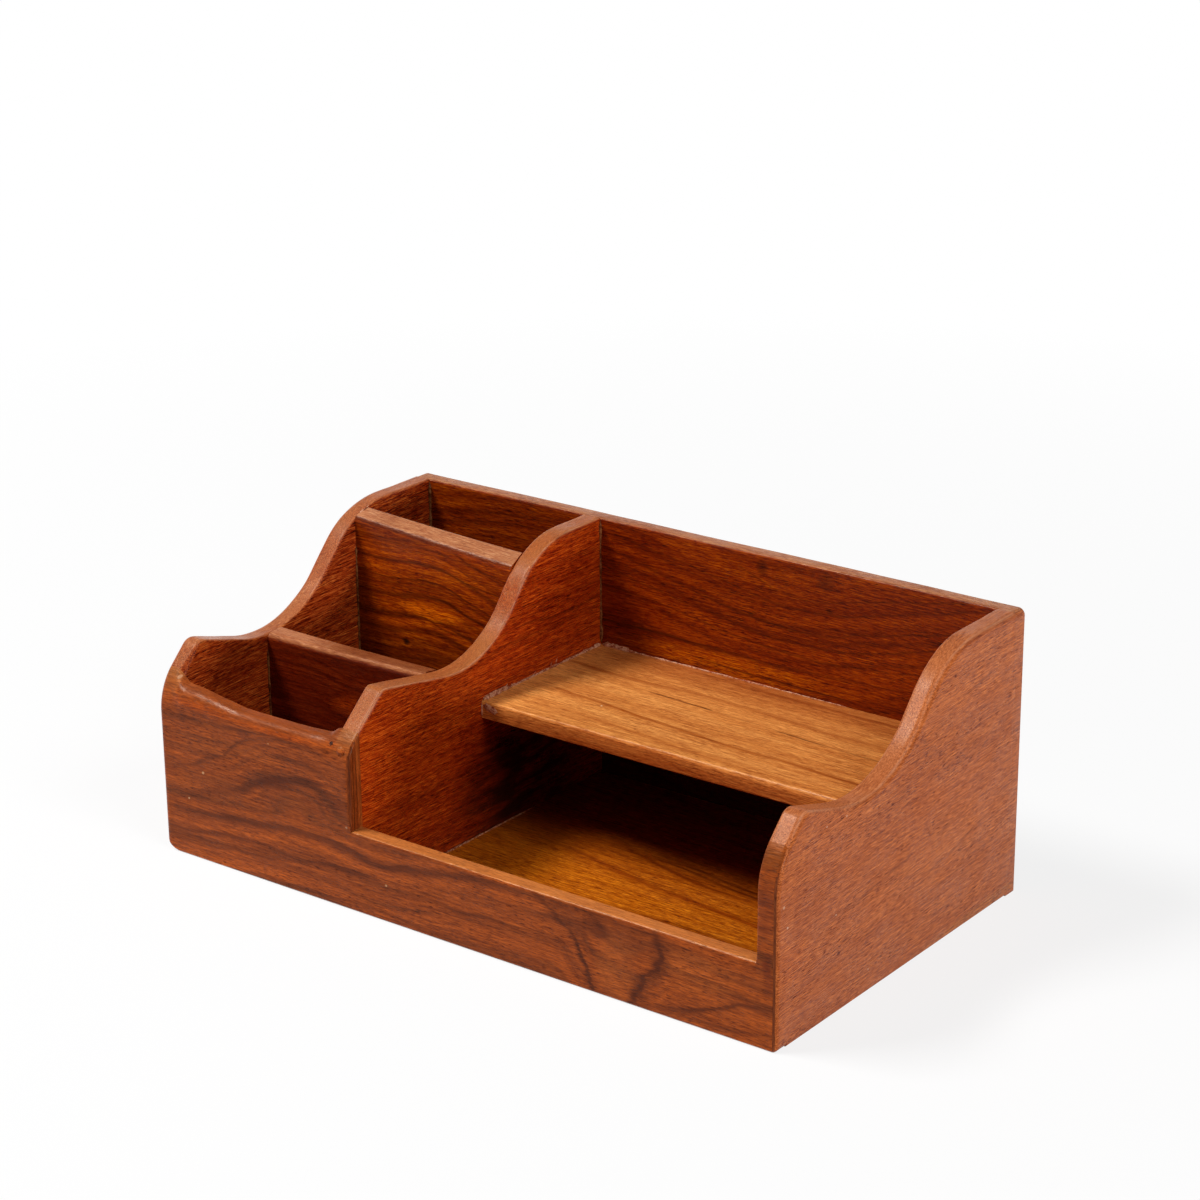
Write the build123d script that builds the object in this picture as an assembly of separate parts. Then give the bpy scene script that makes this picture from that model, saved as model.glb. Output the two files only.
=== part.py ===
from build123d import *
import os
from math import atan2, pi, tan

# Wooden desk organizer: three ogee walls between a front and a back panel.
# X runs left to right, the front faces -Y, Z is up and the origin is the
# middle of the underside. All sizes are in millimetres.

# Overall size
width = 300.0
depth = 168.5
height = 118.5

# Board thicknesses
side_thickness = 8.8
divider_thickness = 9.0
front_thickness = 7.0
back_thickness = 7.5
base_thickness = 4.0
shelf_thickness = 7.7
partition_thickness = 9.0

# Clear sizes of the bays
pen_bay_width = 84.0
rear_bay_depth = 40.0
middle_bay_depth = 47.5
shelf_height = 62.3
shelf_depth = 80.0
lip_height = 33.7

# Ogee of the two sides: corners of the outline before they are rounded.
# Setbacks are measured from the front, heights from the underside.
side_brow_height = 71.0
side_nose_setback = 17.0
side_nose_height = 87.7
side_hollow_setback = 71.3
side_hollow_height = 71.6
side_shoulder_setback = 114.0
side_brow_radius = 26.0
side_nose_radius = 5.8
side_hollow_radius = 50.0
side_shoulder_radius = 43.0

# Ogee of the divider, cut a little lower and further back
divider_brow_height = 66.6
divider_nose_setback = 22.2
divider_nose_height = 86.0
divider_hollow_setback = 85.5
divider_hollow_height = 75.0
divider_shoulder_setback = 121.0
divider_brow_radius = 14.0
divider_nose_radius = 3.5
divider_hollow_radius = 46.0
divider_shoulder_radius = 43.0

# Rounding of the edges, and the small chamfer of those inside the bays
outer_arris = 2.2
divider_arris = 1.2
bay_chamfer = 0.7
back_rim_arris = 0.9
rear_partition_arris = 3.2
front_partition_arris = 2.6
partition_back_arris = 1.0
shelf_arris = 1.2
lip_outer_arris = 1.0
lip_inner_arris = 0.6
back_corner_arris = 3.0

# Top of the front panel over the pen bay: level in the middle, rising to the walls
bay_top_height = 69.1
bay_top_side_height = 73.0
bay_top_divider_height = 71.5
bay_top_side_run = 33.0
bay_top_divider_run = 13.0
bay_top_arris = 5.2

# Headless pins that hold the front and back panels to the walls
pin_diameter = 1.4
pin_length = 20.0
pin_set_depth = 0.8
side_front_pin_heights = [15.0, 47.5]
divider_front_pin_heights = [15.0, 66.0]
back_pin_heights = [30.0, 90.0]

# Closeness that counts as touching, and the share of a run that roundings may use
touching = 0.01
usable_share = 0.97

# Places that follow from the sizes above
left = -width / 2
right = width / 2
front = -depth / 2
back = depth / 2
front_inner = front + front_thickness
back_inner = back - back_thickness
left_inner = left + side_thickness
right_inner = right - side_thickness
divider_left = left_inner + pen_bay_width
divider_right = divider_left + divider_thickness
rear_partition_back = back_inner - rear_bay_depth
rear_partition_front = rear_partition_back - partition_thickness
front_partition_back = rear_partition_front - middle_bay_depth
front_partition_front = front_partition_back - partition_thickness
shelf_front = back_inner - shelf_depth
shelf_underside = shelf_height - shelf_thickness
left_centre = (left + left_inner) / 2
divider_centre = (divider_left + divider_right) / 2
right_centre = (right_inner + right) / 2

SIDE_OGEE = {
    "corners": [
        (side_brow_height, 0.0),
        (side_nose_height, side_nose_setback),
        (side_hollow_height, side_hollow_setback),
        (height, side_shoulder_setback),
    ],
    "radii": [side_brow_radius, side_nose_radius, side_hollow_radius, side_shoulder_radius],
}
DIVIDER_OGEE = {
    "corners": [
        (divider_brow_height, 0.0),
        (divider_nose_height, divider_nose_setback),
        (divider_hollow_height, divider_hollow_setback),
        (height, divider_shoulder_setback),
    ],
    "radii": [
        divider_brow_radius,
        divider_nose_radius,
        divider_hollow_radius,
        divider_shoulder_radius,
    ],
}


def box_between(low, high):
    """A box from its lowest to its highest corner."""
    size = [b - a for a, b in zip(low, high)]
    return Pos(*low) * Box(*size, align=(Align.MIN, Align.MIN, Align.MIN))


def tangent_length(radius, before, corner, after):
    """How far along each run a rounded corner reaches."""
    heading_in = atan2(corner[1] - before[1], corner[0] - before[0])
    heading_out = atan2(after[1] - corner[1], after[0] - corner[0])
    turn = abs((heading_out - heading_in + pi) % (2 * pi) - pi)
    return radius * tan(turn / 2)


def limited_radii(points, radii):
    """The wanted radii, cut down only where two rounded corners would meet."""
    radii = list(radii)
    for _ in range(len(radii)):
        for i in range(len(points) - 1):
            run = (Vector(*points[i + 1]) - Vector(*points[i])).length
            ends = [k for k in (i - 1, i) if 0 <= k < len(radii)]
            reach = sum(tangent_length(radii[k], *points[k : k + 3]) for k in ends)
            share = min(1.0, usable_share * run / reach)
            for k in ends:
                radii[k] *= share
    return radii


def ogee_face(x, ogee):
    """The outline of a wall seen from the side, as a face in the plane X = x."""
    outline = [(front, 0.0)]
    outline += [(front + setback, level) for level, setback in ogee["corners"]]
    outline += [(back, height)]
    curve = FilletPolyline(*outline, radius=limited_radii(outline, ogee["radii"]))
    rest = Polyline(outline[-1], (back, 0.0), outline[0])
    return Plane.YZ.offset(x) * make_face(curve + rest)


def ogee_block(x_low, x_high, ogee):
    """The room under one ogee between two planes of constant X."""
    return extrude(ogee_face(x_low, ogee), amount=x_high - x_low, dir=(1, 0, 0))


def bay_top_section(x, level):
    """The front panel over the pen bay, cut in the plane X = x, its front edge well rounded."""
    radius = min(bay_top_arris, usable_share * front_thickness)
    top = FilletPolyline((front, 0), (front, level), (front_inner, level), radius=radius)
    rest = Polyline((front_inner, level), (front_inner, 0), (front, 0))
    return Plane.YZ.offset(x) * make_face(top + rest)


def pen_bay_front():
    """The part of the front panel over the pen bay, its top sagging between two walls."""
    sections = [
        bay_top_section(left_inner, bay_top_side_height),
        bay_top_section(left_inner + bay_top_side_run, bay_top_height),
        bay_top_section(divider_left - bay_top_divider_run, bay_top_height),
        bay_top_section(divider_left, bay_top_divider_height),
    ]
    return loft(sections, ruled=True)


def edges_in_plane(solid, axis, place):
    """The edges that lie wholly in one plane across an axis, "X" or "Y"."""
    found = []
    for edge in solid.edges():
        box = edge.bounding_box()
        low = getattr(box.min, axis)
        high = getattr(box.max, axis)
        if abs(low - place) < touching and abs(high - place) < touching:
            found.append(edge)
    return found


def top_edges(solid, x):
    """The edges of a wall's top outline in the plane X = x."""
    edges = [e for e in edges_in_plane(solid, "X", x) if e.bounding_box().size.Y > touching]
    return [e for e in edges if e.center().Z > base_thickness + touching]


def pin(x, z, face_y, inward):
    """One headless pin, driven along Y from just under an outer face."""
    start = face_y + inward * pin_set_depth
    plane = Plane(origin=(x, start, z), z_dir=(0, inward, 0))
    return plane * Cylinder(pin_diameter / 2, pin_length, align=(Align.CENTER, Align.CENTER, Align.MIN))


def pin_hole(x, z, face_y, inward):
    """The hole of one pin, from the outer face to the pin's point."""
    plane = Plane(origin=(x, face_y, z), z_dir=(0, inward, 0))
    length = pin_set_depth + pin_length
    return plane * Cylinder(pin_diameter / 2, length, align=(Align.CENTER, Align.CENTER, Align.MIN))


FRONT_PINS = [(x, z, front, 1) for x in (left_centre, right_centre) for z in side_front_pin_heights]
FRONT_PINS += [(divider_centre, z, front, 1) for z in divider_front_pin_heights]
BACK_PINS = [
    (x, z, back, -1) for x in (left_centre, divider_centre, right_centre) for z in back_pin_heights
]


def without_pin_holes(solid):
    """Cuts every pin hole that reaches into a board."""
    for place in FRONT_PINS + BACK_PINS:
        solid = solid - pin_hole(*place)
    return solid


def wall(rounded_x, chamfered_x, foot, ogee, arris):
    """One ogee wall between the two panels, one top edge rounded and the other chamfered."""
    x_low, x_high = sorted((rounded_x, chamfered_x))
    room = box_between((x_low, front_inner, foot), (x_high, back_inner, height))
    solid = ogee_block(x_low, x_high, ogee) & room
    solid = fillet(top_edges(solid, rounded_x), arris)
    solid = chamfer(top_edges(solid, chamfered_x), bay_chamfer)
    return without_pin_holes(solid)


def left_side():
    return wall(left, left_inner, 0, SIDE_OGEE, outer_arris)


def right_side():
    return wall(right, right_inner, 0, SIDE_OGEE, outer_arris)


def middle_divider():
    """The divider stands on the floor, not beside it."""
    return wall(divider_right, divider_left, base_thickness, DIVIDER_OGEE, divider_arris)


def lip():
    """The low part of the front panel, with its two top edges eased."""
    board = box_between((divider_right, front, 0), (right_inner, front_inner, lip_height))
    for y, radius in ((front, lip_outer_arris), (front_inner, lip_inner_arris)):
        upper = [e for e in edges_in_plane(board, "Y", y) if e.center().Z > lip_height - touching]
        board = fillet(upper, radius)
    return board


def front_panel():
    """One board: high over the pen bay, a low lip and a narrow arm over the rest."""
    slab = box_between((left, front, 0), (right, front_inner, height))
    high_part = slab & ogee_block(left, left_inner, SIDE_OGEE)
    high_part = high_part + pen_bay_front()
    high_part = high_part + (slab & ogee_block(divider_left, divider_right, DIVIDER_OGEE))
    arm = slab & ogee_block(right_inner, right, SIDE_OGEE)
    panel = high_part + lip() + arm
    for x in (left, right):
        corner = [e for e in edges_in_plane(panel, "X", x) if e.center().Z > touching]
        corner = [e for e in corner if e.center().Y < front_inner - touching]
        panel = fillet(corner, outer_arris)
    return without_pin_holes(panel)


def back_panel():
    """One board over the back ends of the three walls."""
    panel = box_between((left, back_inner, 0), (right, back, height))
    ends = [e for e in panel.edges().filter_by(Axis.Y) if e.center().Z > height / 2]
    panel = fillet(ends, back_corner_arris)
    rim = [e for e in edges_in_plane(panel, "Y", back) if e.center().Z > height - back_corner_arris]
    panel = fillet(rim, back_rim_arris)
    return without_pin_holes(panel)


def base_panel():
    """The thin floor, let in between the two sides and the two panels."""
    return box_between((left_inner, front_inner, 0), (right_inner, back_inner, base_thickness))


def shelf():
    """The shelf of the right bay, with its front top edge eased."""
    board = box_between(
        (divider_right, shelf_front, shelf_underside), (right_inner, back_inner, shelf_height)
    )
    top_front = board.edges().filter_by(Axis.X).sort_by(Axis.Y)[0:2].sort_by(Axis.Z)[-1]
    return fillet(top_front, shelf_arris)


def ogee_height(ogee, y):
    """How high an ogee stands at one place along Y."""
    post = Edge.make_line((left, y, 0), (left, y, height + 1))
    return (ogee_face(left, ogee) & post).bounding_box().max.Z


def partition_end(x, ogee, y_front, y_back, arris):
    """The end of a partition, its top running along the ogee of the wall it meets."""
    outline = [
        (y_front, base_thickness),
        (y_front, ogee_height(ogee, y_front)),
        (y_back, ogee_height(ogee, y_back)),
        (y_back, base_thickness),
    ]
    top = FilletPolyline(*outline, radius=[arris, partition_back_arris])
    return Plane.YZ.offset(x) * make_face(top + Polyline(outline[-1], outline[0]))


def partition(y_front, y_back, arris):
    """A cross wall of the pen bay, its top trimmed to run from ogee to ogee."""
    side_end = partition_end(left_inner, SIDE_OGEE, y_front, y_back, arris)
    divider_end = partition_end(divider_left, DIVIDER_OGEE, y_front, y_back, arris)
    return loft([side_end, divider_end], ruled=True)


def rear_partition():
    return partition(rear_partition_front, rear_partition_back, rear_partition_arris)


def front_partition():
    return partition(front_partition_front, front_partition_back, front_partition_arris)


def pin_group(places):
    return Compound(children=[pin(*place) for place in places])


def write(name, shape):
    """Writes one node as a STEP file and prints its size."""
    export_step(shape, f"parts/{name}.step")
    size = shape.bounding_box().size
    print(f"{name}: {size.X:.2f} x {size.Y:.2f} x {size.Z:.2f} mm, {shape.volume / 1000:.2f} cm3")


os.makedirs("parts", exist_ok=True)
write("left_side", left_side())
write("right_side", right_side())
write("middle_divider", middle_divider())
write("front_panel", front_panel())
write("back_panel", back_panel())
write("base_panel", base_panel())
write("shelf", shelf())
write("rear_partition", rear_partition())
write("front_partition", front_partition())
write("front_panel_pins", pin_group(FRONT_PINS))
write("back_panel_pins", pin_group(BACK_PINS))
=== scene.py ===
from math import cos, pi, radians, sin

import bmesh
import bpy
import numpy as np
from mathutils import Matrix, Vector


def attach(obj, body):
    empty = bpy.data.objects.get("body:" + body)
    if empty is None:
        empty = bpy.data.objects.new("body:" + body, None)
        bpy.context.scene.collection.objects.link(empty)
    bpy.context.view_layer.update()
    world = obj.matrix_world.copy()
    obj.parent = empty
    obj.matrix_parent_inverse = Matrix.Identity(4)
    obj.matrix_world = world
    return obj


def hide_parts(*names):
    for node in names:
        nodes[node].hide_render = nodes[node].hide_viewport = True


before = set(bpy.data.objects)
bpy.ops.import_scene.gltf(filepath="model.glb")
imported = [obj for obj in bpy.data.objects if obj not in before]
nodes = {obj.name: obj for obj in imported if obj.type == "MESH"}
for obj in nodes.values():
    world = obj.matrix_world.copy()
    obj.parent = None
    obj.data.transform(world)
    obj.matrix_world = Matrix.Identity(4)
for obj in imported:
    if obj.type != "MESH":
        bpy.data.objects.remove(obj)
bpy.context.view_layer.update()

MM = 1000.0  # millimetres in a metre

# Sizes of the boards, in millimetres, as in the CAD model
LEFT, RIGHT = -150.0, 150.0
FRONT, BACK = -84.25, 84.25
HEIGHT = 118.5
FRONT_IN, BACK_IN = -77.25, 76.75
LEFT_IN, RIGHT_IN = -141.2, 141.2
DIV_L, DIV_R = -57.2, -48.2
BASE = 4.0
LIP = 33.7
SHELF_FRONT, SHELF_LOW, SHELF_TOP = -3.25, 54.6, 62.3
REAR_PART = (27.75, 36.75)
FRONT_PART = (-28.75, -19.75)

# The two ogees: corners at (y, z) with the radius that rounds them
SIDE = [
    (FRONT, 0, 0), (FRONT, 71.0, 26.0), (-67.25, 87.7, 5.8), (-12.95, 71.6, 50.0), (29.75, HEIGHT, 43.0),
    (BACK, HEIGHT, 0),
]
DIVIDER = [
    (FRONT, 0, 0), (FRONT, 66.6, 14.0), (-62.05, 86.0, 3.5), (1.25, 75.0, 46.0), (36.75, HEIGHT, 43.0),
    (BACK, HEIGHT, 0),
]
PANEL_LEVEL, PANEL_JOIN = 32.4, 33.2  # where the front panel's outline turns into the lip's, outside and inside
FOOT = 0.7  # how much the lower edges are eased
CROWN = 0.12  # unevenness of the walls' tops
RIM_WAVE = 0.1  # unevenness of the back panel's top
RIM_IN, RIM_OUT = 1.1, 1.3  # rounding of the back panel's top, inside and outside


# Camera, at the photograph's viewing angle

def make_camera():
    place = Vector((0.67649, -0.87640, 0.51179))
    look = Vector((-0.56986, 0.74909, -0.33781)).normalized()
    roll = -0.0090
    flat = look.cross(Vector((0, 0, 1))).normalized()
    up = flat.cross(look)
    across = cos(roll) * flat + sin(roll) * up
    upright = -sin(roll) * flat + cos(roll) * up
    data = bpy.data.cameras.new("camera")
    data.sensor_width = 36
    data.lens = 90.654
    data.clip_start = 0.05
    data.clip_end = 30
    cam = bpy.data.objects.new("camera", data)
    turn = Matrix((across, upright, -look)).transposed().to_4x4()
    turn.translation = place
    cam.matrix_world = turn
    bpy.context.scene.collection.objects.link(cam)
    bpy.context.scene.camera = cam


make_camera()


# Curves and meshes

def rounded(corners, spacing=0.6):
    """A dense polyline through (a, b, radius) corners, each rounded by an arc."""
    pts = [np.array(c[:2], float) for c in corners]
    out = [pts[0]]
    for i in range(1, len(pts) - 1):
        a, p, b = pts[i - 1], pts[i], pts[i + 1]
        u = (a - p) / np.linalg.norm(a - p)
        v = (b - p) / np.linalg.norm(b - p)
        r = corners[i][2]
        half = np.arccos(np.clip(u @ v, -1, 1)) / 2
        if r <= 0 or half > pi / 2 - 1e-3:
            out.append(p)
            continue
        run = r / np.tan(half)
        mid = (u + v) / np.linalg.norm(u + v)
        centre = p + mid * r / np.sin(half)
        s, e = p + u * run - centre, p + v * run - centre
        turn = pi - 2 * half
        sign = np.sign(s[0] * e[1] - s[1] * e[0])
        n = max(5, int(turn * r / spacing) + 1)
        for t in np.linspace(0, turn * sign, n):
            out.append(centre + np.array((cos(t) * s[0] - sin(t) * s[1], sin(t) * s[0] + cos(t) * s[1])))
    out.append(pts[-1])
    return np.array(out)


def dense(line, spacing=0.8):
    """The same polyline with points at most that far apart."""
    out = [line[0]]
    for a, b in zip(line[:-1], line[1:]):
        n = max(1, int(np.ceil(np.linalg.norm(b - a) / spacing)))
        out += [a + (b - a) * k / n for k in range(1, n + 1)]
    return np.array(out)


def spread(line, n):
    """n points evenly spaced along a polyline."""
    d = np.concatenate(([0], np.cumsum(np.linalg.norm(np.diff(line, axis=0), axis=1))))
    t = np.linspace(0, d[-1], n)
    return np.stack([np.interp(t, d, line[:, k]) for k in range(line.shape[1])], -1)


def inward(line):
    """Unit normals to the right of a polyline's heading, which is the wood's side."""
    t = np.gradient(line, axis=0)
    t /= np.linalg.norm(t, axis=1)[:, None]
    return np.stack([t[:, 1], -t[:, 0]], -1)


def arc(n):
    """Shares of a rounded edge's radius, closest together where it starts."""
    return 1 - np.cos(np.linspace(0, pi / 2, n))


def drop(e, r):
    """How far a quarter round of radius r falls back at distance e from the edge."""
    k = np.clip(1 - e / np.maximum(r, 1e-6), 0, 1)
    return r * (1 - np.sqrt(1 - k * k))


def wave(t, seed, amount, length):
    """A smooth, seeded, hand-made unevenness along t."""
    rng = np.random.default_rng(seed)
    out = 0
    for k in range(1, 5):
        out = out + np.sin(np.asarray(t) / length * 2 * pi * k * 0.61 + rng.uniform(0, 6.28)) / k
    return amount * out / 1.6


def link_mesh(name, verts, faces, rub_and_sheen_weight, angle):
    """A mesh in the scene from points in millimetres, with a weight at each point that is highest in the middle of
    a rounded edge.
    """
    me = bpy.data.meshes.new(name)
    me.from_pydata((np.asarray(verts) / MM).tolist(), [], faces)
    if rub_and_sheen_weight is not None:
        attr = me.attributes.new("rub_and_sheen_weight", "FLOAT", "POINT")
        attr.data.foreach_set("value", np.asarray(rub_and_sheen_weight, float))
    bm = bmesh.new()
    bm.from_mesh(me)
    bmesh.ops.remove_doubles(bm, verts=bm.verts, dist=2e-6)
    bmesh.ops.dissolve_degenerate(bm, dist=1e-6, edges=bm.edges)
    bmesh.ops.recalc_face_normals(bm, faces=bm.faces)
    bm.to_mesh(me)
    bm.free()
    me.shade_smooth()
    me.set_sharp_from_angle(angle=radians(angle))
    obj = bpy.data.objects.new(name, me)
    bpy.context.scene.collection.objects.link(obj)
    return obj


def skin(name, rings, rub_and_sheen_weights=None, angle=38):
    """A closed skin over equal rings of points, sharp where faces meet at more than an angle."""
    n, m = len(rings), len(rings[0])
    verts = np.concatenate([np.asarray(r, float) for r in rings])
    faces = []
    for i in range(n - 1):
        for j in range(m):
            k = (j + 1) % m
            faces.append((i * m + j, i * m + k, (i + 1) * m + k, (i + 1) * m + j))
    faces.append(tuple(range(m))[::-1])
    faces.append(tuple((n - 1) * m + j for j in range(m)))
    rub_and_sheen_weight = None if rub_and_sheen_weights is None else np.concatenate(rub_and_sheen_weights)
    return link_mesh(name, verts, faces, rub_and_sheen_weight, angle)


SIDE_LINE = dense(rounded(SIDE))
DIVIDER_LINE = dense(rounded(DIVIDER))


def top_of(line, y, inset):
    """Height of an ogee at each y, when it is offset into the wood by an inset at each y."""
    insets = np.linspace(0, 6, 25)
    inset = np.broadcast_to(inset, np.shape(y))
    table = []
    for d in insets:
        q = line + inward(line) * d
        q = q[q[:, 1] > 40]
        order = np.argsort(q[:, 0], kind="stable")
        table.append(np.interp(y, q[order, 0], q[order, 1]))
    table = np.array(table)
    k = np.clip(inset / insets[1], 0, len(insets) - 1.001)
    low = k.astype(int)
    share = k - low
    col = np.arange(len(y))
    return table[low, col] * (1 - share) + table[low + 1, col] * share


def wall(name, x0, x1, line, r0, r1, foot, seed):
    """An ogee wall between the panels, its two top edges rounded by r0(y) and r1(y)."""
    steps = arc(8)
    ys = np.unique(np.concatenate([np.arange(FRONT_IN, BACK_IN, 1.1), [BACK_IN]]))
    ra, rb = r0(ys), r1(ys)
    cols = [(x0 + s * ra, drop(s * ra, ra), 1 - abs(2 * s - 1)) for s in steps]
    mid = np.linspace(0.15, 0.85, 6)
    cols += [((x0 + ra) * (1 - t) + (x1 - rb) * t, 0 * ys, 0.12) for t in mid]
    cols += [(x1 - s * rb, drop(s * rb, rb), 1 - abs(2 * s - 1)) for s in steps[::-1]]
    crown = np.clip(wave(ys, seed, CROWN, 60), -CROWN, CROWN)
    tops = [(np.broadcast_to(x, ys.shape), top_of(line, ys, d) - CROWN + crown) for x, d, _ in cols]
    foot_rub_and_sheen = [0.3, 0.3]
    rub_and_sheen_weight = foot_rub_and_sheen + [w for _, _, w in cols] + foot_rub_and_sheen
    rings = []
    for j, y in enumerate(ys):
        ring = [(x0 + FOOT, y, foot), (x0, y, foot + FOOT)]
        ring += [(float(x[j]), y, z[j]) for x, z in tops]
        rings.append(ring + [(x1, y, foot + FOOT), (x1 - FOOT, y, foot)])
    return skin(name, rings, [rub_and_sheen_weight] * len(rings))


def arris(base, amount, seed, nose=0.0):
    """The radius of a rounded edge along y. nose is added at the very front."""
    nose_back, nose_length = -62, 15
    front_share = lambda y: np.clip((nose_back - np.asarray(y)) / nose_length, 0, 1)
    return lambda y: base + wave(y, seed, amount, 34) + nose * front_share(y) ** 2


LEFT_ARRIS, RIGHT_ARRIS = arris(2.3, 0.35, 1), arris(2.4, 0.35, 4)
left_wall = wall("left_wall", LEFT, LEFT_IN, SIDE_LINE, LEFT_ARRIS, arris(1.1, 0.25, 2, 2.6), 0, 11)
right_wall = wall("right_wall", RIGHT_IN, RIGHT, SIDE_LINE, arris(1.1, 0.25, 3), RIGHT_ARRIS, 0, 12)
divider_wall = wall("divider_wall", DIV_L, DIV_R, DIVIDER_LINE, arris(1.0, 0.2, 5), arris(1.5, 0.3, 6), BASE, 13)


# The front panel: one skin from the high part over the pen bay, past the lip, to the arm

def pen_bay_line(x):
    """The panel's outline over the pen bay, lower than the walls' and well rounded at the front."""
    xs = [LEFT_IN, -137.0, -130.0, -122.4, -115.4, -107.9, -100.0, -82.0, -70.6, -65.4, DIV_L]
    zs = [73.0, 72.9, 72.4, 71.2, 70.3, 69.2, 69.0, 69.1, 69.4, 69.8, 70.3]
    z = np.interp(x, xs, zs)
    places, widest = [-141, -120, -70, -57], 6.6
    r = np.interp(x, places, [8.5, 5.2, 5.2, 8.0])
    slope = np.interp(x, places, [3.0, 0.6, 0.8, 3.0])
    return rounded([(FRONT, 0, 0), (FRONT, z - slope, min(r, widest)), (FRONT_IN, z, 0)], 0.4)


def ogee_front(line):
    """The part of an ogee that the front panel's thickness covers."""
    cut = line[line[:, 0] < FRONT_IN]
    near = line[len(cut) - 1:len(cut) + 2]
    return np.vstack([cut, [(FRONT_IN, np.interp(FRONT_IN, near[:, 0], near[:, 1]))]])


def blended(a, b, t):
    """An outline between two outlines."""
    return spread(a, 120) * (1 - t) + spread(b, 120) * t


def panel_line(x):
    """The panel's outline at x: the sides' ogee at both ends, the divider's at its end, lower between."""
    if x > DIV_R:
        return ogee_front(SIDE_LINE)
    if x >= DIV_L:
        return ogee_front(DIVIDER_LINE)
    bay = pen_bay_line(x)
    left_start, left_run, right_run = -136.5, 8.5, 5
    left = np.clip((left_start - x) / left_run, 0, 1)
    right = np.clip((x - DIV_L + right_run) / right_run, 0, 1)
    if left > 0:
        return blended(bay, ogee_front(SIDE_LINE), left * left * (3 - 2 * left))
    return blended(bay, ogee_front(DIVIDER_LINE), right * right * (3 - 2 * right))


def panel_ring(x, line, inset):
    """A closed loop in the plane X = x. inset(z) says how far the outer curve falls back."""
    spacing = 0.5
    line = dense(line, spacing)
    heading = line[-1] - line[-2]
    # an outline that still runs backward is drawn on before it is set in, and cut afterwards
    if heading[0] > 0.01:
        past = np.arange(spacing, 6, spacing)
        line = np.vstack([line, line[-1] + np.outer(past, heading / heading[0])])
    shift = np.array([inset(z) for z in line[:, 1]])
    q = line + inward(line) * shift[:, None]
    if heading[0] > 0.01:
        last = np.flatnonzero(q[:, 0] < FRONT_IN)[-1]
        cut = (FRONT_IN, np.interp(FRONT_IN, q[last:last + 2, 0], q[last:last + 2, 1]))
        q = np.vstack([q[:last + 1], [cut]])
    q[:, 0] = np.minimum(q[:, 0], FRONT_IN)
    k = int(np.argmax(q[:, 1] >= PANEL_LEVEL))
    level_y = np.interp(PANEL_LEVEL, q[:k + 1, 1], q[:k + 1, 0])
    front_z = np.array([0.0, FOOT, 4, 8, 12, 16, 20, 24, 28, PANEL_LEVEL])
    front_y = np.interp(front_z, q[:k + 1, 1], q[:k + 1, 0])
    front_y[0] += FOOT
    lower = np.stack([front_y, front_z], -1)
    upper = spread(np.vstack([[(level_y, PANEL_LEVEL)], q[k:]]), 64)[1:]
    inner = np.array([(FRONT_IN, PANEL_JOIN), (FRONT_IN, 20), (FRONT_IN, 0)])
    loop = np.vstack([lower, upper, inner])
    # the two lower corners are rounded off, and the points above them squeezed together
    left_round, right_round, reach = 7.0, 2.2, 14
    foot = drop(x - LEFT, left_round) + drop(RIGHT - x, right_round)
    return [(x, y, foot + z * (1 - foot / reach) if z < reach else z) for y, z in loop]


def lip_line(x):
    """The panel's outline in front of the tray."""
    r = np.interp(x, [DIV_R, 20, RIGHT_IN], [1.0, 1.3, 2.0])
    z = LIP - 0.05
    return rounded([(FRONT, 0, 0), (FRONT, z, r), (FRONT_IN, z, 0.7), (FRONT_IN, PANEL_JOIN, 0)], 0.25)


def front_panel():
    """The whole front panel, with its ends and the two steps at the lip rounded."""
    rings = []

    def add(x, line, inset=lambda z: 0.0):
        rings.append(panel_ring(x, line, inset))

    def above_lip(z):
        return np.clip((z - LIP) / 3, 0, 1)

    steps = arc(8)
    corner = float(LEFT_ARRIS(FRONT_IN))
    for e in steps * corner:
        add(LEFT + e, panel_line(LEFT), lambda z, e=e: drop(e, corner))
    for x in np.concatenate([np.linspace(LEFT + corner + 0.6, -136, 18), np.linspace(-135, DIV_L, 52)]):
        add(x, panel_line(x))
    end = lambda z: np.interp(z, [LIP, LIP + 4, 45, 62, 68, 75], [0.4, 1.2, 2.2, 2.0, 1.2, 1.2])
    for e in np.concatenate([[4.0], (steps * 2.2)[::-1]]):
        add(DIV_R - e, panel_line(DIV_R), lambda z, e=e: drop(e, end(z)) * above_lip(z))
    for x in np.linspace(DIV_R, RIGHT_IN, 48):
        add(x, lip_line(x))
    small = 1.0
    for e in arc(6) * small:
        add(RIGHT_IN + e, panel_line(RIGHT), lambda z, e=e: drop(e, small) * above_lip(z))
    corner = float(RIGHT_ARRIS(FRONT_IN))
    for x in np.linspace(RIGHT_IN + 2, RIGHT - corner - 0.5, 4):
        add(x, panel_line(RIGHT))
    for e in steps[::-1] * corner:
        add(RIGHT - e, panel_line(RIGHT), lambda z, e=e: drop(e, corner))
    return skin("front_board", rings)


front_board = front_panel()


# The back panel, shelf and partitions

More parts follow.
